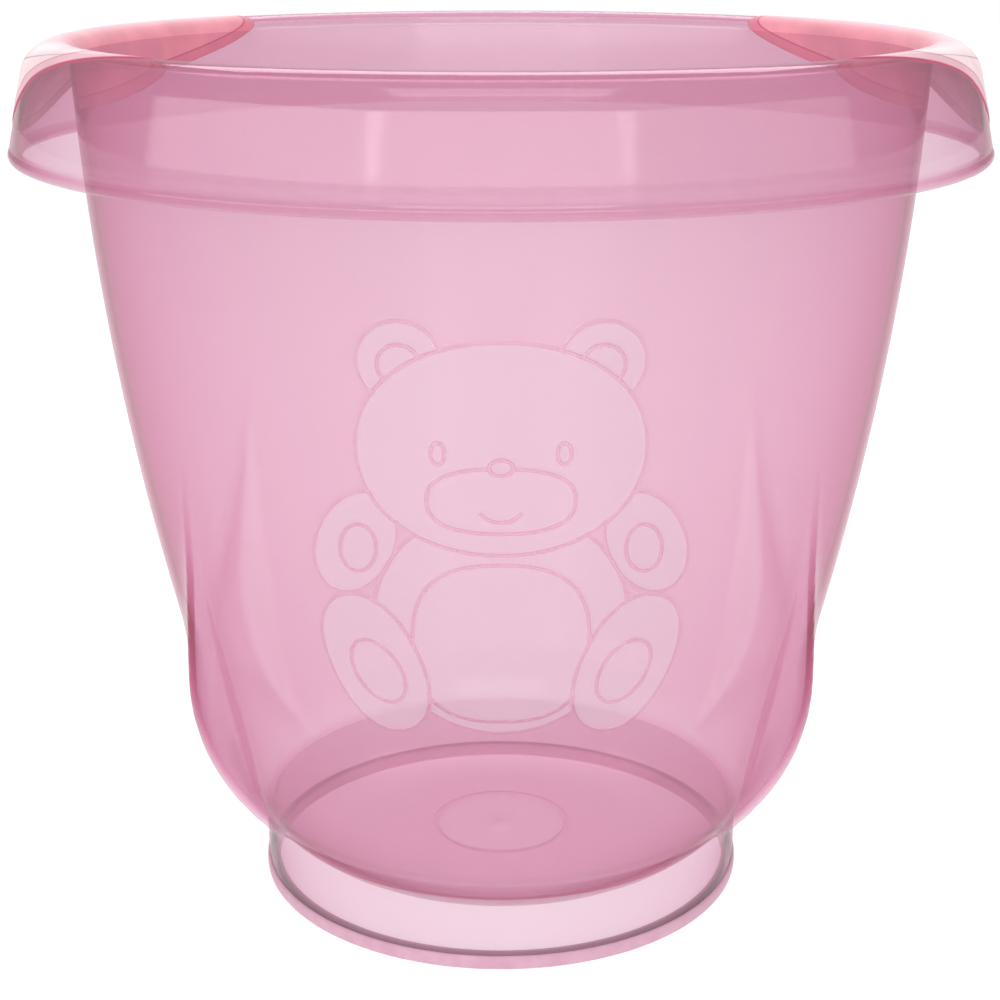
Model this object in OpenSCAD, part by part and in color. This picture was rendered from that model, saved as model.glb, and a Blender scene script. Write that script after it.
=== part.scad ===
// Baby bathtub: an upright round tub with a turned-down rim, soft rim grips and a soft foot band.
// The tub stands on Z = 0, its axis is Z, its front faces -Y and its grips lie at -X and +X.
// All sizes are in millimetres.

/* [Tub] */
// Overall height, from the floor to the crest of the rim
tub_h = 365; // [320:1:440]
// Outer radius of the wall where it meets the rim
mouth_r = 174; // [160:1:210]
// Outer radius of the wall where it turns into the rounded bottom
waist_r = 120.5; // [112:0.5:145]
// Height at which the wall turns into the rounded bottom
waist_z = 60; // [52:1:80]
// Radius of the wall's gentle outward bow, seen from the side
bow_r = 1200; // [900:10:3000]
// Wall thickness of the moulding
wall = 3; // [2.5:0.1:3.6]
// Height of the bottom's underside above the ground
floor_z = 10; // [7:0.5:16]
// Radius of the shallow round recess in the middle of the floor
gate_r = 28; // [18:1:33]
// Depth of the floor recess
gate_depth = 0.8; // [0.4:0.1:1.2]

/* [Rim] */
// Radius of the rounding from the inside wall to the crest
roll_r = 7; // [6:0.5:9]
// Radius of the rounding from the crest to the skirt
shoulder_r = 15.5; // [10:0.5:18]
// Height of the turned-down rim, from its crest to the underside of its lip
rim_drop = 47; // [38:1:60]
// Angle by which the skirt leans outwards
skirt_lean = 11.5; // [4:0.5:16]
// Radius of the bead along the lip
bead_r = 3; // [2.4:0.1:4]
// How far the bead stands out from the skirt
bead_proud = 0.5; // [0.2:0.1:1]

/* [Hip panels] */
// Distance from the middle plane to the middle of each hip panel
panel_x = 133; // [128:0.5:138]
// Height at which the corners of a hip panel run out into the wall
panel_top = 207; // [180:1:230]
// Width of a hip panel across those corners
panel_w = 198; // [160:2:204]
// Angle by which the ends of a hip panel lean in towards the foot
panel_lean = 14; // [6:1:18]
// Radius of the panel's gentle curve, seen from above
panel_bow = 380; // [250:10:900]
// Radius of the rounding under a hip panel
panel_round = 104; // [80:1:110]
// Height of the lowest point of that rounding
panel_low = 8; // [4:1:20]

/* [Foot] */
// Outer radius of the foot where it leaves the bottom
foot_r = 104.5; // [98:0.5:108]
// How much narrower the foot is at its lower edge
foot_draft = 1.2; // [0:0.1:3]

/* [Foot band] */
// Height of the soft band
band_h = 6; // [5:0.5:10]
// Thickness of the band beside the foot's wall
band_side = 1.2; // [0.8:0.1:2]
// Thickness of the band under the foot's edge
band_sole = 2; // [1.5:0.1:3]

/* [Grips] */
// Width of a grip, along the rim
grip_w = 256; // [180:2:270]
// Depth of a grip on the inside of the tub
grip_in = 28; // [18:1:36]
// Depth of a grip on the skirt
grip_out = 40; // [22:1:40]
// Thickness of the soft grip, let into the rim
grip_t = 1.5; // [1:0.1:1.8]

/* [Hidden] */
$fn = 96;

// Small overlap between solids that are cut or joined
eps = 0.5;
// Straight pieces in a rounding, in the wall's bow and in the edge of a grip
arc_steps = 10;
wall_steps = 16;
edge_steps = 28;
// Facets round the hip panels' curve, which is much flatter than the tub's
panel_facets = 240;

// The wall's bow: an arc of bow_r through (waist_r, waist_z) and (mouth_r, mouth_z)
mouth_z = tub_h - roll_r;
chord = [mouth_r - waist_r, mouth_z - waist_z];
chord_len = norm(chord);
chord_mid = [(mouth_r + waist_r) / 2, (mouth_z + waist_z) / 2];
bow_gap = sqrt(bow_r * bow_r - chord_len * chord_len / 4);
bow_c = chord_mid + bow_gap * [-chord[1], chord[0]] / chord_len;
bow_low = asin((waist_z - bow_c[1]) / bow_r);
bow_high = asin((mouth_z - bow_c[1]) / bow_r);

// The rounded bottom: an arc that leaves the wall smoothly and ends level at the floor
bowl_r = (waist_z - floor_z) / (1 + sin(bow_low));
bowl_c = [waist_r - bowl_r * cos(bow_low), floor_z + bowl_r];

// The rim: crest, shoulder and skirt
crest_r = mouth_r - wall + roll_r;
roll_c = [crest_r, mouth_z];
shoulder_c = [crest_r, tub_h - shoulder_r];
lip_z = tub_h - rim_drop;
skirt_top = shoulder_c + shoulder_r * [cos(skirt_lean), sin(skirt_lean)];
skirt_low = lip_z + 2 * bead_r;
skirt_end_r = skirt_top[0] + (skirt_top[1] - skirt_low) * tan(skirt_lean);
bead_c = [skirt_end_r + bead_proud - bead_r, lip_z + bead_r];
// The bead's arc, in degrees: where it leaves the skirt and how far round it goes
bead_start = 50;
bead_turn = 220;

// The hip panels run on this far above their corners, inside the wall
panel_rise = 12;

// The foot and its band
foot_low_r = foot_r - foot_draft;
band_r = foot_low_r + band_side;
// Chamfers along the band's lower edges and its upper outer edge
band_ease = 0.8;
band_top_ease = 0.6;

function arc(c, r, a, b, n) =
    [for (i = [0:n]) c + r * [cos(a + (b - a) * i / n), sin(a + (b - a) * i / n)]];

// Height of the rounded bottom's outer face at radius r
function bowl_height(r) = bowl_c[1] - sqrt(bowl_r * bowl_r - pow(r - bowl_c[0], 2));

// The outside of the wall, from the middle of the floor up to the rim, moved inwards by d
function outside(d) = concat(
    [[0, floor_z + d]],
    arc(bowl_c, bowl_r - d, -90, bow_low, arc_steps),
    arc(bow_c, bow_r - d, bow_low, bow_high, wall_steps));

// The inner half of the rim's upper face, from the inside wall to the crest, moved inwards by d
function inner_rim(d) = arc(roll_c, roll_r - d, 180, 90, arc_steps);

// The outer half, from the crest down the skirt to the bead, moved inwards by d
function outer_rim(d) = concat(
    arc(shoulder_c, shoulder_r - d, 90, skirt_lean, arc_steps),
    [[skirt_end_r - d / cos(skirt_lean), skirt_low]]);

function reversed(list) = [for (i = [len(list) - 1:-1:0]) list[i]];

// The wall, the turned-down rim and the bead along its lip, turned in one piece.
// Its seam lies at the back, away from the hip panels.
module turned_shell() {
    rotate([0, 0, 90])
        rotate_extrude()
            polygon(concat(
                outside(0),
                inner_rim(wall),
                outer_rim(wall),
                arc(bead_c, bead_r, bead_start - bead_turn, bead_start, arc_steps),
                reversed(outer_rim(0)),
                reversed(inner_rim(0)),
                reversed(outside(wall))));
}

// Everything enclosed by the wall, moved inwards by d
module bowl_solid(d) {
    rotate([0, 0, 90])
        rotate_extrude()
            polygon(concat(outside(d), [[0, mouth_z]]));
}

// The two hip panels: upright, gently curved faces with a rounded underside, moved inwards by d
module panel_solid(d) {
    bow_x = panel_x - panel_bow;
    high = panel_top + panel_rise;
    low_half = panel_w / 2 - d - (panel_top - panel_low) * tan(panel_lean);
    high_half = panel_w / 2 - d + panel_rise * tan(panel_lean);
    for (turn = [0, 180])
        rotate([0, 0, turn])
            intersection() {
                translate([bow_x, 0, 0])
                    rotate([0, 0, 180])
                        rotate_extrude($fn = panel_facets)
                            polygon(concat(
                                [[0, panel_low + d]],
                                arc([panel_bow - panel_round, panel_low + panel_round],
                                    panel_round - d, -90, 0, arc_steps),
                                [[panel_bow - d, high], [0, high]]));
                rotate([90, 0, 90])
                    linear_extrude(panel_x + eps)
                        polygon([
                            [-low_half, panel_low],
                            [low_half, panel_low],
                            [high_half, high],
                            [-high_half, high]]);
            }
}

// The skin of the hip panels, where they stand out from the middle of the wall
module panel_skin() {
    difference() {
        panel_solid(0);
        panel_solid(wall);
        bowl_solid(wall / 2);
    }
}

// The foot, from its lower edge up into the rounded bottom
module foot() {
    rotate_extrude()
        polygon([
            [foot_low_r - wall, band_sole],
            [foot_low_r, band_sole],
            [foot_r, bowl_height(foot_r) + wall / 2],
            [foot_r - wall, bowl_height(foot_r - wall) + wall / 2]]);
}

// The outline of a grip on one face of the rim, seen along X: a half ellipse inside, a bell outside
function inner_edge(d) = [for (i = [0:edge_steps])
    let (y = grip_w / 2 * cos(180 * i / edge_steps))
    [y, tub_h - d * sin(180 * i / edge_steps)]];
function outer_edge(d) = [for (i = [0:edge_steps])
    let (y = grip_w / 2 * (1 - 2 * i / edge_steps))
    [y, tub_h - roll_r - (d - roll_r) * (1 + cos(360 * y / grip_w)) / 2]];

module grip_outline(edge) {
    rotate([90, 0, 90])
        linear_extrude(skirt_end_r + eps)
            polygon(concat([[grip_w / 2, tub_h + eps]], edge, [[-grip_w / 2, tub_h + eps]]));
}

// The room that a grip takes up, on the +X side
module grip_pad() {
    inner_low = tub_h - grip_in - eps;
    intersection() {
        grip_outline(inner_edge(grip_in));
        rotate_extrude()
            polygon(concat(
                [[mouth_r - wall, inner_low]],
                inner_rim(0),
                reversed(inner_rim(grip_t)),
                [[mouth_r - wall + grip_t, inner_low]]));
    }
    intersection() {
        grip_outline(outer_edge(grip_out));
        rotate_extrude()
            polygon(concat(outer_rim(0), reversed(outer_rim(grip_t))));
    }
}

module tub_shell() {
    color([0.95, 0.72, 0.83]) {
        difference() {
            turned_shell();
            panel_solid(wall);
            translate([0, 0, floor_z + wall - gate_depth])
                cylinder(r = gate_r, h = wall);
            for (turn = [0, 180])
                rotate([0, 0, turn])
                    grip_pad();
        }
        panel_skin();
        foot();
    }
}

module grip_left() {
    color([0.93, 0.6, 0.66])
        rotate([0, 0, 180])
            grip_pad();
}

module grip_right() {
    color([0.93, 0.6, 0.66])
        grip_pad();
}

// The soft band: a channel that holds the foot's lower edge
module foot_band() {
    lean = foot_draft * (band_h - band_sole) / (bowl_height(foot_r) + wall / 2 - band_sole);
    inside_lean = foot_draft * (band_h - band_sole)
        / (bowl_height(foot_r - wall) + wall / 2 - band_sole);
    color([0.95, 0.86, 0.91])
        rotate_extrude()
            polygon([
                [foot_low_r - wall - band_side + band_ease, 0],
                [band_r - band_ease, 0],
                [band_r, band_ease],
                [band_r + lean, band_h - band_top_ease],
                [band_r + lean - band_top_ease, band_h],
                [foot_low_r + lean, band_h],
                [foot_low_r, band_sole],
                [foot_low_r - wall, band_sole],
                [foot_low_r - wall + inside_lean, band_h],
                [foot_low_r - wall - band_side, band_h],
                [foot_low_r - wall - band_side, band_ease]]);
}

tub_shell();
grip_left();
grip_right();
foot_band();
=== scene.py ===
import math

import bpy
import numpy as np
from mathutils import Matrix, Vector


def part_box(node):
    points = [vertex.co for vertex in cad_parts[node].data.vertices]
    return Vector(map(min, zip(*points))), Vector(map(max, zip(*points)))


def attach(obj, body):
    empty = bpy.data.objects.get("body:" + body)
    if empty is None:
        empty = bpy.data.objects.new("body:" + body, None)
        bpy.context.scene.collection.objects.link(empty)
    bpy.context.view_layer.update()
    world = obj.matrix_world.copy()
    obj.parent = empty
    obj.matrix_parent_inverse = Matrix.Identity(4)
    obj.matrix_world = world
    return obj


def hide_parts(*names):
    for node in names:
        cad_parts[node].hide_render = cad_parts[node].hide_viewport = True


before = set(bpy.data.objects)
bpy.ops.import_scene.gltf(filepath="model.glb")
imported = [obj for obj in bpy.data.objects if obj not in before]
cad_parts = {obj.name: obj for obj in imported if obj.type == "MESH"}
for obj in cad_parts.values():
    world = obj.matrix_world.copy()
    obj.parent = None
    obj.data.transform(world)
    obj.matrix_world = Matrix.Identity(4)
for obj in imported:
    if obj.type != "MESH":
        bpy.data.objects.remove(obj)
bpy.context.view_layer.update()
scene = bpy.context.scene


# ---------------------------------------------------------------- the tub
# One injection moulding in translucent pink polypropylene: a round wall that bows gently, a
# rounded bottom on a foot, a turned-down rim with a beaded lip and two upright hip panels.
# The mould has a polished outside, a gate recess in the floor and a bear in low relief.
MM = 0.001
tub_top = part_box("tub_shell")[1][2]
wall = 3 * MM
mouth_r, waist_r, waist_z = 174 * MM, 120.5 * MM, 60 * MM
bow_r, floor_z = 1200 * MM, 10 * MM
roll_r, shoulder_r, rim_drop = 7 * MM, 15.5 * MM, 47 * MM
skirt_lean = 11.5
bead_r, bead_proud = 3 * MM, 0.5 * MM
foot_r, foot_draft, sole = 104.5 * MM, 1.2 * MM, 2 * MM
gate_r, gate_depth = 28 * MM, 0.8 * MM
ridge_r = 1.3 * MM  # half the width of the ridge round the gate recess
rim_seat = 0.4 * MM  # the rim's face lies this far under the faces of the soft grips

# The wall's bow runs through the waist and the mouth, and the bottom's arc leaves it smoothly.
mouth_z = tub_top - roll_r
chord = (mouth_r - waist_r, mouth_z - waist_z)
chord_length = math.hypot(*chord)
bow_gap = math.sqrt(bow_r**2 - chord_length**2 / 4) / chord_length
bow_centre = (
    (mouth_r + waist_r) / 2 - bow_gap * chord[1],
    (mouth_z + waist_z) / 2 + bow_gap * chord[0],
)
bow_low = math.degrees(math.asin((waist_z - bow_centre[1]) / bow_r))
bow_high = math.degrees(math.asin((mouth_z - bow_centre[1]) / bow_r))
bowl_r = (waist_z - floor_z) / (1 + math.sin(math.radians(bow_low)))
bowl_centre = (waist_r - bowl_r * math.cos(math.radians(bow_low)), floor_z + bowl_r)

crest_r = mouth_r - wall + roll_r
roll_centre = (crest_r, mouth_z)
shoulder_centre = (crest_r, tub_top - shoulder_r)
lean = math.radians(skirt_lean)
skirt_high = (
    shoulder_centre[0] + shoulder_r * math.cos(lean),
    shoulder_centre[1] + shoulder_r * math.sin(lean),
)
skirt_low_z = tub_top - rim_drop + 2 * bead_r
skirt_low_r = skirt_high[0] + (skirt_high[1] - skirt_low_z) * math.tan(lean)
bead_centre = (skirt_low_r + bead_proud - bead_r, tub_top - rim_drop + bead_r)


def wall_radius(z, depth=0.0):
    """Radius of the wall or the rounded bottom at height z, depth under its outer face."""
    z = np.clip(z, bowl_centre[1] - bowl_r + depth, None)
    on_bow = bow_centre[0] + np.sqrt((bow_r - depth) ** 2 - (z - bow_centre[1]) ** 2)
    reach = np.clip((bowl_r - depth) ** 2 - (z - bowl_centre[1]) ** 2, 0, None)
    on_bowl = bowl_centre[0] + np.sqrt(reach)
    joint_z = bowl_centre[1] + (bowl_r - depth) * math.sin(math.radians(bow_low))
    return np.where(z > joint_z, on_bow, on_bowl)


def bowl_height(r):
    """Height of the rounded bottom's outer face at radius r."""
    return bowl_centre[1] - math.sqrt(bowl_r**2 - (r - bowl_centre[0]) ** 2)


def arc(centre, radius, start, end, steps):
    """Points on an arc between two angles, in degrees."""
    angles = [math.radians(start + (end - start) * i / steps) for i in range(steps + 1)]
    return [
        (centre[0] + radius * math.cos(a), centre[1] + radius * math.sin(a)) for a in angles
    ]


def rim_face(depth):
    """The rim's section from the inside wall over the crest to the bead, depth under its face."""
    skirt_end = (skirt_low_r - depth / math.cos(lean), skirt_low_z)
    return (
        arc(roll_centre, roll_r - depth, 180, 90, 8)[:-1]
        + arc(shoulder_centre, shoulder_r - depth, 90, skirt_lean, 12)
        + [
            (
                skirt_high[0] + (skirt_end[0] - skirt_high[0]) * t - depth * (1 - t),
                skirt_high[1] + (skirt_end[1] - skirt_high[1]) * t,
            )
            for t in (0.33, 0.66, 1.0)
        ]
    )


foot_turn = math.degrees(math.acos((foot_r - bowl_centre[0]) / bowl_r))
foot_inner_r = foot_r - wall
inner_turn = math.degrees(math.acos((foot_inner_r - bowl_centre[0]) / bowl_r))
foot_low_r = foot_r - foot_draft
gate_z = floor_z + wall - gate_depth
nub_z = floor_z + wall - gate_depth / 3  # the cut-off sprue in the middle of the recess
section = (
    [(0, floor_z), (gate_r / 2, floor_z), (gate_r, floor_z)]
    + arc(bowl_centre, bowl_r, -90, -inner_turn, 6)
    + [(foot_low_r - wall, sole), (foot_low_r, sole), (foot_low_r + 0.6 * MM, 12 * MM)]
    + [(foot_r - 0.5 * MM, 24 * MM)]
    + arc(bowl_centre, bowl_r, -foot_turn, bow_low, 8)[:-1]
    + arc(bow_centre, bow_r, bow_low, bow_high, 36)
    + rim_face(wall)[1:]
    + arc(bead_centre, bead_r, -170, 50, 14)
    + rim_face(rim_seat)[::-1]
    + arc(bow_centre, bow_r - wall, bow_high, bow_low, 36)
    + arc(bowl_centre, bowl_r - wall, bow_low, -90, 14)[1:]
    + arc((gate_r + ridge_r, floor_z + wall), ridge_r, 0, 180, 6)
    + [(gate_r, gate_z), (gate_r / 2, gate_z), (4 * MM, gate_z), (3 * MM, nub_z), (0, nub_z)]
)


def draw_section(name, points):
    """A new piece that is one line of points in the XZ plane, drawn by extruding a vertex."""
    bpy.ops.object.select_all(action="DESELECT")
    bpy.ops.mesh.primitive_plane_add(size=wall)
    piece = bpy.context.object
    piece.name = name
    bpy.ops.object.mode_set(mode="EDIT")
    bpy.ops.mesh.select_mode(type="VERT")
    bpy.ops.mesh.merge(type="CENTER")
    bpy.ops.transform.translate(value=(points[0][0], 0, points[0][1]))
    for here, there in zip(points, points[1:]):
        step = (there[0] - here[0], 0, there[1] - here[1])
        bpy.ops.mesh.extrude_region_move(TRANSFORM_OT_translate={"value": step})
    return piece


def turn_section(steps):
    """Spins the drawn line once round the Z axis and closes its seam and poles."""
    bpy.ops.mesh.select_all(action="SELECT")
    bpy.ops.mesh.spin(steps=steps, angle=math.tau, center=(0, 0, 0), axis=(0, 0, 1))
    bpy.ops.mesh.select_all(action="SELECT")
    bpy.ops.mesh.remove_doubles(threshold=0.01 * MM)
    bpy.ops.mesh.normals_make_consistent(inside=False)


tub = draw_section("tub", section)
turn_section(120)
bpy.ops.object.mode_set(mode="OBJECT")


def places(piece):
    """The piece's points as rows of x, y, z."""
    points = np.empty(len(piece.data.vertices) * 3)
    piece.data.vertices.foreach_get("co", points)
    return points.reshape(-1, 3)


def put_back(piece, points):
    """Moves the piece's points to new places."""
    piece.data.vertices.foreach_set("co", points.ravel())
    piece.data.update()


def face_middles(piece):
    """The middles of the piece's faces as rows of x, y, z."""
    middles = np.empty(len(piece.data.polygons) * 3)
    piece.data.polygons.foreach_get("center", middles)
    return middles.reshape(-1, 3)


def subdivide_where(piece, chosen, cuts):
    """Cuts the chosen faces finer, with triangles where they meet the coarser ones."""
    bpy.ops.object.mode_set(mode="EDIT")
    bpy.ops.mesh.select_mode(type="FACE")
    bpy.ops.mesh.select_all(action="DESELECT")
    bpy.ops.object.mode_set(mode="OBJECT")
    piece.data.polygons.foreach_set("select", chosen)
    bpy.ops.object.mode_set(mode="EDIT")
    bpy.ops.mesh.subdivide(number_cuts=cuts, ngon=False)
    bpy.ops.object.mode_set(mode="OBJECT")


# The bear, from back to front: middle, half width, half height, tilt in degrees and squareness,
# in millimetres on the wall's front. Each shape hides the lines of those before it.
bear_shapes = []
for side in (-1, 1):
    bear_shapes += [
        (side * 35, 264, 15, 15, 0, 2),  # ear
        (side * 35, 263, 7.5, 7.5, 0, 2),  # inside of the ear
        (side * 52, 194, 14, 22, side * 24, 2),  # arm
        (side * 51, 192, 6.5, 9.5, side * 8, 2),  # paw pad
    ]
bear_shapes += [
    (0, 164, 46, 47, 0, 2),  # body
    (0, 155, 32, 33, 0, 2.6),  # tummy
]
for side in (-1, 1):
    bear_shapes += [
        (side * 46, 144, 17, 30, side * -22, 2.2),  # foot
        (side * 45, 141, 8.5, 14, side * -28, 2),  # sole pad
    ]
bear_shapes += [
    (0, 232, 51, 40, 0, 2.1),  # head
    (0, 213, 26, 12.5, 0, 2.5),  # muzzle
    (0, 226, 4.2, 3, 0, 2),  # nose
    (-22, 231, 2.4, 4, 0, 2),  # eye
    (22, 231, 2.4, 4, 0, 2),  # eye
]
smile = (0, 214, 9)  # middle and radius of the mouth's arc
smile_reach = 50
line_half, line_height, fill_height = 0.75, 1.0, 0.3
near_face = 1.2 * MM  # a point this close to a face of the wall belongs to it


def bear_at(x, z):
    """Distance to the nearest visible line, and 1 inside the bear or 0 outside, in millimetres."""
    nearest = np.full(len(x), 99.0)
    inside = np.zeros(len(x))
    for middle_x, middle_z, half_w, half_h, tilt, power in bear_shapes:
        turn = math.radians(tilt)
        across = (x - middle_x) * math.cos(turn) + (z - middle_z) * math.sin(turn)
        along = (z - middle_z) * math.cos(turn) - (x - middle_x) * math.sin(turn)
        u, v = np.abs(across) / half_w + 1e-6, np.abs(along) / half_h + 1e-6
        size = (u**power + v**power) ** (1 / power)
        slope = np.hypot(u ** (power - 1) / half_w, v ** (power - 1) / half_h)
        edge = (size - 1) * size ** (power - 1) / slope
        nearest = np.where(edge < -line_half, 99.0, nearest)
        nearest = np.minimum(nearest, np.abs(edge))
        inside = np.maximum(inside, np.clip(0.5 - edge / line_half, 0, 1))
    turn = np.degrees(np.arctan2(x - smile[0], smile[1] - z))
    turn = np.radians(np.clip(turn, -smile_reach, smile_reach))
    mouth = np.hypot(
        x - smile[0] - smile[2] * np.sin(turn), z - smile[1] + smile[2] * np.cos(turn)
    )
    return np.minimum(nearest, mouth), inside


def on_outer_wall(points):
    """Whether each point lies on the wall's outer face, between the foot and the rim."""
    r = np.hypot(points[:, 0], points[:, 1])
    z = points[:, 2]
    return (np.abs(r - wall_radius(z)) < near_face) & (z > 32 * MM) & (z < 350 * MM)


def near_bear(piece, reach):
    """The faces of the wall's front within reach of a line of the bear."""
    middles = face_middles(piece)
    distance = bear_at(middles[:, 0] / MM, middles[:, 2] / MM)[0]
    return on_outer_wall(middles) & (middles[:, 1] < 0) & (distance < reach)


# Finer faces where the bear is, then again along its lines
middles = face_middles(tub)
bear_box = (np.abs(middles[:, 0]) < 75 * MM) & (np.abs(middles[:, 2] - 198 * MM) < 90 * MM)
subdivide_where(tub, bear_box & on_outer_wall(middles) & (middles[:, 1] < 0), 4)
subdivide_where(tub, near_bear(tub, 2.2), 1)
subdivide_where(tub, near_bear(tub, 1.3), 1)

# The hip panels: upright faces, gently curved in plan, that stand out of the narrowing wall.
# Their ends lean in towards the foot, and their undersides are rounded.
hip_x, hip_bow, hip_round, hip_low = 133 * MM, 380 * MM, 104 * MM, 8 * MM
hip_half, hip_top, hip_lean = 99 * MM, 207 * MM, math.tan(math.radians(14))
hip_blend, end_blend = 3 * MM, 2 * MM


def soft_max(a, b, blend):
    """The larger of two values, with a rounded change from one to the other."""
    mix = np.clip(0.5 + (a - b) / (2 * blend), 0, 1)
    return b + (a - b) * mix + blend * mix * (1 - mix)


def with_hips(x, y, z, depth):
    """Radius of the wall with its hip panels, in the direction of a point."""
    turn = np.arctan2(y, np.abs(x))
    under = np.clip(hip_low + hip_round - z, 0, hip_round * 0.999 - depth)
    drop = hip_round - depth - np.sqrt((hip_round - depth) ** 2 - under**2)
    across = (hip_x - hip_bow) * np.cos(turn)
    face_r = hip_bow - depth - drop
    reach = np.clip(face_r**2 - (hip_x - hip_bow) ** 2 + across**2, 0, None)
    face = across + np.sqrt(reach)
    half = hip_half - depth - (hip_top - z) * hip_lean
    end = half / np.maximum(np.abs(np.sin(turn)), 1e-3)
    panel = -soft_max(-face, -end, end_blend)
    panel = np.where(z > hip_top + 15 * MM, 0, panel)
    return soft_max(wall_radius(z, depth), panel, hip_blend)


middles = face_middles(tub)
turn = np.degrees(np.arctan2(np.abs(middles[:, 1]), np.abs(middles[:, 0])))
r = np.hypot(middles[:, 0], middles[:, 1])
z = middles[:, 2]
on_wall = (r > wall_radius(z) - wall - MM) & (r < wall_radius(z) + MM)
hip_zone = on_wall & (turn > 20) & (turn < 47) & (z > 20 * MM) & (z < 222 * MM)
subdivide_where(tub, hip_zone, 3)
bpy.ops.object.mode_set(mode="EDIT")
bpy.ops.mesh.select_all(action="SELECT")
bpy.ops.mesh.remove_doubles(threshold=0.01 * MM)
bpy.ops.object.mode_set(mode="OBJECT")

points = places(tub)
x, y, z = points.T
r = np.hypot(x, y)
foot_top = 24 * MM  # the foot runs into the rounded bottom about here
below_rim = z < mouth_z - MM
outer = below_rim & (np.abs(r - wall_radius(z)) < near_face) & (z > bowl_height(foot_r) + MM)
inner = below_rim & (np.abs(r - wall_radius(z, wall)) < near_face) & (z > foot_top)
distance, inside = bear_at(x / MM, z / MM)
front = outer & (y < 0)
relief = line_height * np.exp(-((distance / line_half) ** 2)) + fill_height * inside
target = np.where(outer, with_hips(x, y, z, 0), with_hips(x, y, z, wall))
target += np.where(front, relief * MM, 0)
scale = np.where(outer | inner, target / np.maximum(r, MM), 1)
points[:, 0] *= scale
points[:, 1] *= scale
put_back(tub, points)

# Marks kept on the points: the bear is etched and the rest is polished, its lines and the gate's
# ridge are a deeper pink with painted shade, and the foot is paler, with a painted highlight
# fading out up the bowl above it.
in_line = np.exp(-((distance / (0.7 * line_half)) ** 2))
on_ridge = (np.abs(r - gate_r - ridge_r) < 1.1 * ridge_r) & (z > floor_z + wall - 0.1 * MM)
glint_top, glint_fade = 46 * MM, 12 * MM  # the foot's paler plastic, then a painted highlight fading out up the bowl to here
for label, values in (
    ("frost", np.where(front, inside * (1 - in_line), 0)),
    # The bear's clear lines and the ridge round the gate recess take a deeper pink, partly painted
    # shade along these ridges.
    ("line", np.where(front, in_line, on_ridge)),
    ("foot", np.where(r > foot_low_r - wall - MM, np.clip((glint_top - z) / glint_fade, 0, 1), 0)),
):
    mark = tub.data.attributes.new(label, "FLOAT", "POINT")
    mark.data.foreach_set("value", values.astype(float))
bpy.context.view_layer.objects.active = tub
bpy.ops.object.shade_smooth_by_angle(angle=math.radians(40))


def new_material(name):
    """An empty node material, its nodes, and a function that links two sockets."""
    material = bpy.data.materials.new(name)
    material.use_nodes = True
    material.node_tree.nodes.clear()
    return material, material.node_tree.nodes, material.node_tree.links.new


wall_pink = (0.66, 0.38, 0.50, 1)
bear_pink = (0.74, 0.62, 0.69, 1)
# A deeper pink for the bear's clear lines and the gate's ridge, partly painted shade along them.
line_and_shade_pink = (0.68, 0.31, 0.46, 1)
# The foot's paler pink also paints a highlight on the bowl just above the foot.
foot_and_glint_pink = (0.70, 0.66, 0.70, 1)
tub_plastic, nodes, link = new_material("tub_plastic")
out = nodes.new("ShaderNodeOutputMaterial")
coords = nodes.new("ShaderNodeTexCoord")


def read_attribute(nodes, name):
    """The value that a piece's points carry under a name."""
    node = nodes.new("ShaderNodeAttribute")
    node.attribute_name = name
    return node.outputs["Fac"]


def spread(nodes, link, value, low, high, from_low=0.0, from_high=1.0):
    """A value from from_low to from_high, spread over low to high."""
    node = nodes.new("ShaderNodeMapRange")
    node.inputs["From Min"].default_value = from_low
    node.inputs["From Max"].default_value = from_high
    node.inputs["To Min"].default_value = low
    node.inputs["To Max"].default_value = high
    link(value, node.inputs["Value"])
    return node.outputs["Result"]


def blend_colour(nodes, link, share, a, b):
    """A mix of two colours, each a plain colour or a socket."""
    node = nodes.new("ShaderNodeMix")
    node.data_type = "RGBA"
    link(share, node.inputs["Factor"])
    for name, colour in (("A", a), ("B", b)):
        if isinstance(colour, tuple):
            node.inputs[name].default_value = colour
        else:
            link(colour, node.inputs[name])
    return node.outputs["Result"]


def colour_ramp(nodes, link, value, stops):
    """The colour for a value, blended between stops of a position and a colour."""
    node = nodes.new("ShaderNodeValToRGB")
    ramp = node.color_ramp.elements
    ramp[1].position, ramp[1].color = stops[-1]
    ramp[0].position, ramp[0].color = stops[0]
    for position, colour in stops[1:-1]:
        ramp.new(position).color = colour
    link(value, node.inputs["Fac"])
    return node.outputs["Color"]


def noise(nodes, link, scale, detail=2.0):
    """A cloudy pattern fixed to the piece, from 0 to 1."""
    node = nodes.new("ShaderNodeTexNoise")
    node.inputs["Scale"].default_value = scale
    node.inputs["Detail"].default_value = detail
    link(coords.outputs["Object"], node.inputs["Vector"])
    return node.outputs["Fac"]


def bump(nodes, link, height, strength, distance):
    """A normal that the height roughens."""
    node = nodes.new("ShaderNodeBump")
    node.inputs["Strength"].default_value = strength
    node.inputs["Distance"].default_value = distance
    link(height, node.inputs["Height"])
    return node.outputs["Normal"]


def mix_shaders(nodes, link, share, a, b):
    """A mix of two shaders, with a plain share or a socket."""
    node = nodes.new("ShaderNodeMixShader")
    if isinstance(share, float):
        node.inputs["Fac"].default_value = share
    else:
        link(share, node.inputs["Fac"])
    link(a, node.inputs[1])
    link(b, node.inputs[2])
    return node.outputs["Shader"]


frosted = read_attribute(nodes, "frost")
line_and_ridge_shade = read_attribute(nodes, "line")
foot_and_glint_share = read_attribute(nodes, "foot")
tone = blend_colour(nodes, link, frosted, wall_pink, bear_pink)
# Lines and the gate's ridge take a deeper pink, partly painted shade along the ridges.
tone = blend_colour(nodes, link, line_and_ridge_shade, tone, line_and_shade_pink)
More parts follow.
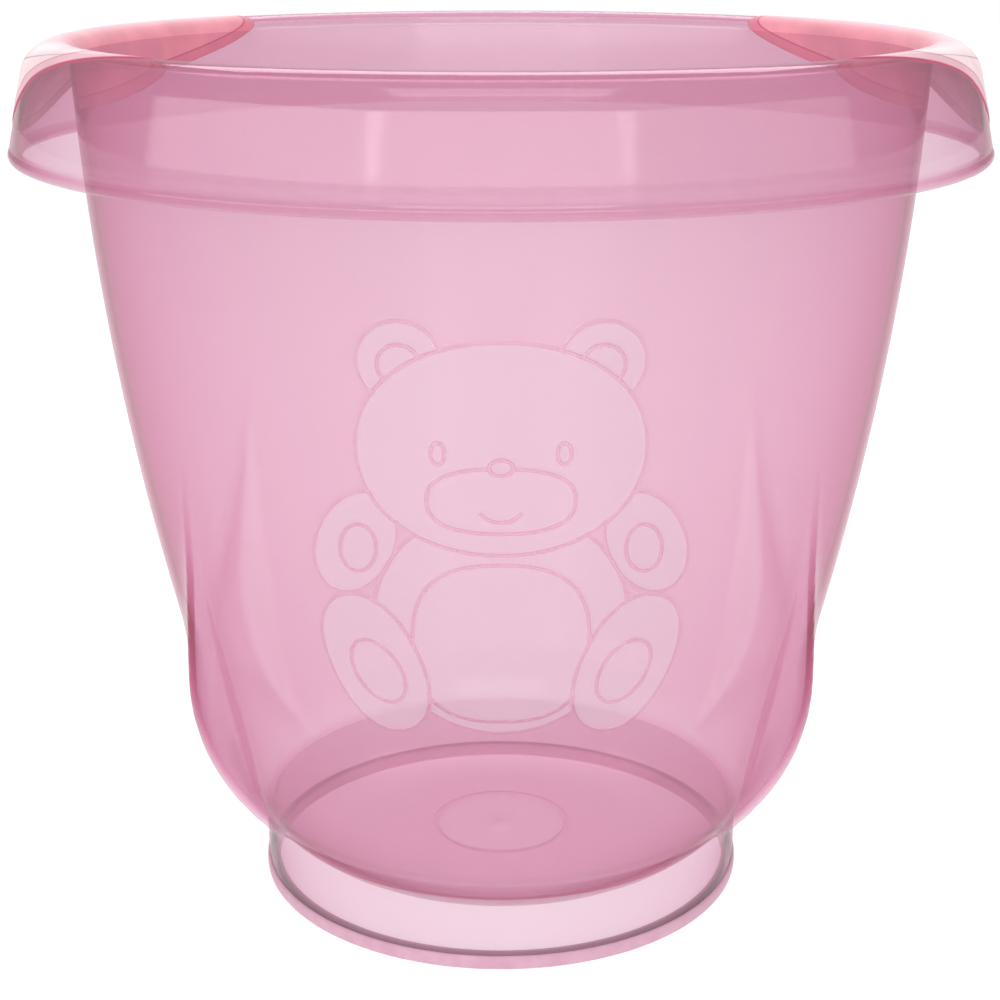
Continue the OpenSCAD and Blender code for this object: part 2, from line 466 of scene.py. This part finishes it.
# The foot is paler, and a painted highlight fades out up the bowl above it.
tone = blend_colour(nodes, link, foot_and_glint_share, tone, foot_and_glint_pink)
shade = nodes.new("ShaderNodeHueSaturation")
link(spread(nodes, link, noise(nodes, link, 9, 3), 0.97, 1.03), shade.inputs["Value"])
link(tone, shade.inputs["Color"])
ripple = bump(nodes, link, noise(nodes, link, 60), 0.05, 0.0006)

# The milky share of the plastic scatters light forwards and back, and the rest lets it through.
scatter = nodes.new("ShaderNodeBsdfDiffuse")
glow = nodes.new("ShaderNodeBsdfTranslucent")
clear = nodes.new("ShaderNodeBsdfTransparent")
for shader in (scatter, glow):
    link(shade.outputs["Color"], shader.inputs["Color"])
milk = mix_shaders(nodes, link, 0.5, scatter.outputs["BSDF"], glow.outputs["BSDF"])
haze = spread(nodes, link, frosted, 0.2, 0.55)
see = mix_shaders(nodes, link, haze, clear.outputs["BSDF"], milk)

# The polish mirrors more and more towards a glancing view, as plastic does.
polish = nodes.new("ShaderNodeBsdfGlossy")
link(spread(nodes, link, frosted, 0.1, 0.3), polish.inputs["Roughness"])
link(ripple, polish.inputs["Normal"])
facing = nodes.new("ShaderNodeLayerWeight")
glance = nodes.new("ShaderNodeMath")
glance.operation = "POWER"
glance.inputs[1].default_value = 5
link(facing.outputs["Facing"], glance.inputs[0])
mirror = spread(nodes, link, glance.outputs["Value"], 0.04, 0.65)
link(mix_shaders(nodes, link, mirror, see, polish.outputs["BSDF"]), out.inputs["Surface"])

# The dye in the wall takes more of the light the longer its way through the plastic.
dye = nodes.new("ShaderNodeVolumeAbsorption")
dye.inputs["Color"].default_value = (0.77, 0.06, 0.42, 1)
dye.inputs["Density"].default_value = 66
link(dye.outputs["Volume"], out.inputs["Volume"])
tub.data.materials.append(tub_plastic)

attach(tub, "root")
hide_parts("tub_shell")


# ---------------------------------------------------------------- the rim grips
# Two saddles of soft thermoplastic rubber, moulded over the rim at the left and the right.
# Each hangs a shallow half oval inside the tub and a deeper bell over the skirt, and a darker
# border runs along its lower edges.
grip_half, grip_in, grip_out, grip_thick = 127 * MM, 28 * MM, 39.5 * MM, 1.2 * MM


def rim_point(depth, outside):
    """Radius and height on the rim's upper face, depth below the crest on one of its sides."""
    radius, centre = (shoulder_r, shoulder_centre) if outside else (roll_r, roll_centre)
    bend = radius * (1 - math.sin(lean)) if outside else radius
    if depth < bend:
        rise = 1 - depth / radius
        run = radius * math.sqrt(max(0, 1 - rise * rise))
        return centre[0] + (run if outside else -run), tub_top - depth
    if outside:
        return skirt_high[0] + (skirt_high[1] - tub_top + depth) * math.tan(lean), tub_top - depth
    return float(wall_radius(np.array(tub_top - depth), wall)), tub_top - depth


for name, sign in (("grip_left", -1), ("grip_right", 1)):
    bpy.ops.object.select_all(action="DESELECT")
    bpy.ops.mesh.primitive_grid_add(x_subdivisions=160, y_subdivisions=56, size=2)
    grip = bpy.context.object
    grip.name = name + "_skin"
    points = places(grip)
    edge, side = np.zeros(len(points)), np.zeros(len(points))
    for i, (u, v, _) in enumerate(points):
        y = grip_half * math.sin(u * math.pi / 2)
        share = min(1, abs(y) / grip_half)
        if v < 0:
            deepest = grip_in * math.sqrt(max(0, 1 - share**2))
        else:
            deepest = grip_out * (1 + math.cos(math.pi * share)) / 2
        depth = deepest * v * v
        r, z = rim_point(depth, v > 0)
        points[i] = (sign * math.sqrt(r * r - y * y), y, z)
        edge[i] = (deepest - depth) / MM
        side[i] = v
    put_back(grip, points)
    for label, values in (("edge_mm", edge), ("side", side)):
        kept = grip.data.attributes.new(label, "FLOAT", "POINT")
        kept.data.foreach_set("value", values)
    bpy.ops.object.mode_set(mode="EDIT")
    bpy.ops.mesh.select_all(action="SELECT")
    bpy.ops.mesh.remove_doubles(threshold=0.05 * MM)
    bpy.ops.mesh.normals_make_consistent(inside=False)
    bpy.ops.object.mode_set(mode="OBJECT")
    middle = grip.data.polygons[len(grip.data.polygons) // 2]
    if middle.normal.z < 0:
        grip.data.flip_normals()
    thicken = grip.modifiers.new("thicken", "SOLIDIFY")
    thicken.thickness = grip_thick
    thicken.offset = -1
    bpy.ops.object.modifier_apply(modifier="thicken")
    ease = grip.modifiers.new("ease", "BEVEL")
    ease.width = 0.3 * MM
    ease.segments = 2
    ease.angle_limit = math.radians(50)
    bpy.ops.object.modifier_apply(modifier="ease")
    bpy.ops.object.shade_smooth_by_angle(angle=math.radians(50))

    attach(grip, "root")
    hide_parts(name)

# Salmon inside the tub, a paler blush outside with a dark line across it that is a painted edge
# shadow, and a red border
grip_salmon, grip_blush = (0.80, 0.30, 0.37, 1), (0.98, 0.78, 0.82, 1)
shadow_fringe, painted_edge_shadow = (0.834, 0.624, 0.656, 1), (0.295, 0.195, 0.205, 1)
border_red = (0.52, 0.07, 0.16, 1)
border_reach = 10  # how far in from the grip's edge, in millimetres, the border's stops reach
grip_soft, nodes, link = new_material("grip_soft")
out = nodes.new("ShaderNodeOutputMaterial")
coords = nodes.new("ShaderNodeTexCoord")
side_share = spread(nodes, link, read_attribute(nodes, "side"), 0, 1, from_low=-1)
side_tones = (
    (0.36, grip_salmon),
    (0.62, grip_blush),
    # a painted shadow line across the outer side, with lighter fringes
    (0.735, shadow_fringe),
    (0.745, painted_edge_shadow),
    (0.755, shadow_fringe),
)
blotch = nodes.new("ShaderNodeHueSaturation")
link(colour_ramp(nodes, link, side_share, side_tones), blotch.inputs["Color"])
mottle = spread(nodes, link, noise(nodes, link, 45, 6), 0.86, 1.12, 0.3, 0.7)
link(mottle, blotch.inputs["Value"])
edge_share = spread(nodes, link, read_attribute(nodes, "edge_mm"), 0, 1, from_high=border_reach)
border_greys = [
    (position, (grey, grey, grey, 1))
    for position, grey in ((0, 1), (0.04, 0.4), (0.40, 0.4), (0.46, 1), (0.52, 0), (1, 0))
]
border = colour_ramp(nodes, link, edge_share, border_greys)
rubber = nodes.new("ShaderNodeBsdfPrincipled")
rubber.inputs["Roughness"].default_value = 0.55
rubber.inputs["Sheen Weight"].default_value = 0.15
trim = blend_colour(nodes, link, border, blotch.outputs["Color"], border_red)
link(trim, rubber.inputs["Base Color"])
link(bump(nodes, link, noise(nodes, link, 900), 0.25, 0.0003), rubber.inputs["Normal"])
link(rubber.outputs["BSDF"], out.inputs["Surface"])
for name in ("grip_left_skin", "grip_right_skin"):
    bpy.data.objects[name].data.materials.append(grip_soft)


# ---------------------------------------------------------------- the foot band
# A ring of soft pink rubber moulded round the foot's lower edge. It stops the tub sliding on a
# wet floor, and it is the only part that touches the ground.
band_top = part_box("foot_band")[1][2]
band_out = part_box("foot_band")[1][0]
band_in = foot_low_r - wall - 1.2 * MM
band_section = [
    (band_in, 1.5 * MM),
    (band_in + 1.5 * MM, 0),
    (band_out - 2 * MM, 0),
    (band_out - 0.9 * MM, 0.3 * MM),
    (band_out - 0.25 * MM, 1.2 * MM),
    (band_out, 3 * MM),
    (band_out - 0.1 * MM, 4.8 * MM),
    (band_out - 0.5 * MM, band_top - 0.25 * MM),
    (band_out - 0.95 * MM, band_top),
    (foot_low_r + 0.12 * MM, band_top),
    (foot_low_r, sole),
    (foot_low_r - wall, sole),
    (foot_low_r - wall, band_top),
    (band_in, band_top),
    (band_in, 1.5 * MM),
]
band = draw_section("foot_band_ring", band_section)
turn_section(160)
bpy.ops.object.mode_set(mode="OBJECT")
bpy.ops.object.shade_smooth_by_angle(angle=math.radians(50))

band_pinks = ((0, (0.52, 0.27, 0.37, 1)), (1, (0.66, 0.41, 0.51, 1)))
band_soft, nodes, link = new_material("band_soft")
out = nodes.new("ShaderNodeOutputMaterial")
coords = nodes.new("ShaderNodeTexCoord")
speckle = noise(nodes, link, 120)
rubber = nodes.new("ShaderNodeBsdfPrincipled")
rubber.inputs["Roughness"].default_value = 0.5
link(colour_ramp(nodes, link, speckle, band_pinks), rubber.inputs["Base Color"])
link(bump(nodes, link, speckle, 0.15, 0.0003), rubber.inputs["Normal"])
link(rubber.outputs["BSDF"], out.inputs["Surface"])
band.data.materials.append(band_soft)

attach(band, "root")
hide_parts("foot_band")


# ---------------------------------------------------------------- the studio
# A glowing white table in a bright room, soft boxes round the tub, and a camera in front of
# it, a little above its rim and tipped down.
bpy.ops.object.select_all(action="DESELECT")
bpy.ops.mesh.primitive_plane_add(size=12, location=(0, 0, 0))
floor = bpy.context.object
floor.name = "floor"
paper, nodes, link = new_material("paper")
out = nodes.new("ShaderNodeOutputMaterial")
sheet = nodes.new("ShaderNodeBsdfPrincipled")
sheet.inputs["Base Color"].default_value = (0.5, 0.5, 0.5, 1)
sheet.inputs["Roughness"].default_value = 0.7
sheet.inputs["Specular IOR Level"].default_value = 0.1
sheet.inputs["Emission Color"].default_value = (1, 1, 1, 1)
sheet.inputs["Emission Strength"].default_value = 0.72
link(sheet.outputs["BSDF"], out.inputs["Surface"])
floor.data.materials.append(paper)

room = bpy.data.worlds.new("room")
room.use_nodes = True
nodes, link = room.node_tree.nodes, room.node_tree.links.new
path = nodes.new("ShaderNodeLightPath")
nodes["Background"].inputs["Color"].default_value = (1, 1, 1, 1)
brightness = spread(nodes, link, path.outputs["Is Camera Ray"], 0.65, 1.0)
link(brightness, nodes["Background"].inputs["Strength"])
scene.world = room

lamp_aim = 0.2  # the height that the lamps look at

# Soft boxes round the tub: the way round from the front and up in degrees, their distance,
# width and height, and how much brighter they are than the room
for name, round_z, up, distance, width, height, bright in (
    ("box_left", -53, 17, 1.5, 1.5, 0.45, 2.4),
    ("box_front", 0, 17, 1.5, 1.5, 0.45, 2.5),
    ("box_right", 53, 17, 1.5, 1.5, 0.45, 1.3),
    ("box_back", 180, 48, 1.5, 1.2, 0.5, 4.5),
    ("box_top", 0, 65, 1.5, 0.9, 0.5, 2.5),
):
    lamp = bpy.data.lights.new(name, "AREA")
    lamp.shape = "RECTANGLE"
    lamp.size, lamp.size_y = width, height
    lamp.energy = bright * math.pi * width * height
    light = bpy.data.objects.new(name, lamp)
    scene.collection.objects.link(light)
    turn, rise = math.radians(round_z), math.radians(up)
    light.location = (
        distance * math.sin(turn) * math.cos(rise),
        -distance * math.cos(turn) * math.cos(rise),
        lamp_aim + distance * math.sin(rise),
    )
    light.rotation_euler = (math.pi / 2 - rise, 0, turn)
    light.visible_camera = False

lens = bpy.data.cameras.new("camera")
camera = bpy.data.objects.new("camera", lens)
scene.collection.objects.link(camera)
camera_away, camera_up, camera_tip = 0.8175, 0.418, 13
camera.location = (0, -camera_away, camera_up)
camera.rotation_euler = (math.radians(90 - camera_tip), 0, 0)
lens.sensor_width = 36
lens.lens = 70.84
lens.shift_x = -0.001
lens.shift_y = -0.145
lens.clip_start = 0.01
scene.camera = camera

scene.view_settings.view_transform = "Standard"
scene.cycles.use_denoising = True
scene.cycles.max_bounces = 16
scene.cycles.transparent_max_bounces = 24
